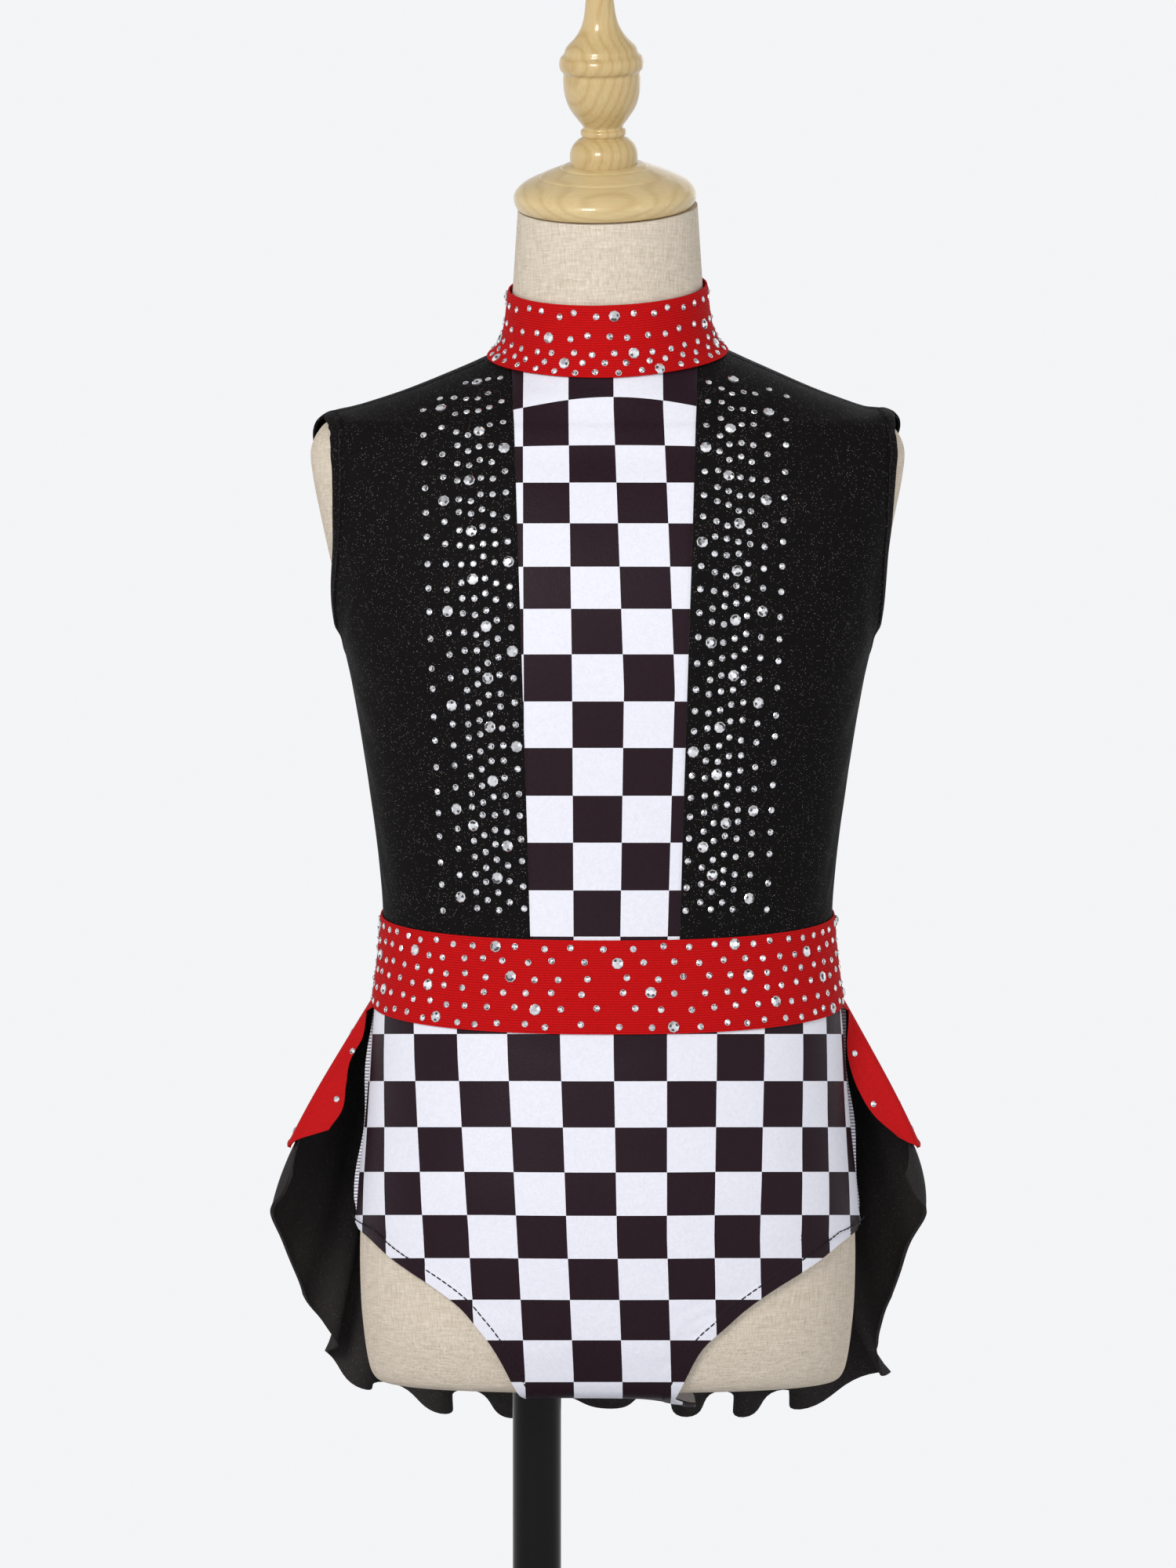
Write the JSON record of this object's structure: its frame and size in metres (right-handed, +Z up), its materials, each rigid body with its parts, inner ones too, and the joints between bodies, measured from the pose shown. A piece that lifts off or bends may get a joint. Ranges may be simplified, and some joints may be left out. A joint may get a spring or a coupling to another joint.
{
  "type": "figure skating bodysuit on a dress form",
  "caption": "Sleeveless skating bodysuit with high collar, waist belt, checked panels and a ruffled two-tier tail, on a limbless linen dress form on a pole and round base.",
  "frame": {"origin": "centre of the base's flat underside, on the floor and on the pole's axis", "axes": "+Z up; the bodysuit's front faces -Y; +X is the wearer's left, which is the right-hand side seen from the front"},
  "size_m": [0.3635, 0.3219, 1.0953],
  "materials": {
    "red_elastic": "ribbed elastic",
    "checked_spandex": "printed stretch knit, smooth",
    "black_spandex": "stretch knit with fine glitter",
    "black_tail": "stretch knit with fine glitter",
    "red_tail": "stretch knit, matt",
    "linen": "slubby linen",
    "varnished_wood": "gloss varnish",
    "black_steel": "gloss black"
  },
  "bodies": {
    "root": {"collar": "red_elastic", "belt": "red_elastic", "front_centre": "checked_spandex", "brief_front": "checked_spandex", "brief_back": "checked_spandex", "front_left": "black_spandex", "front_right": "black_spandex", "back_left": "black_spandex", "back_right": "black_spandex", "tail_black": "black_tail", "tail_red": "red_tail", "form_body": "linen", "neck_cap": "varnished_wood", "finial": "varnished_wood", "pole": "black_steel", "base": "black_steel"}
  },
  "joints": []
}
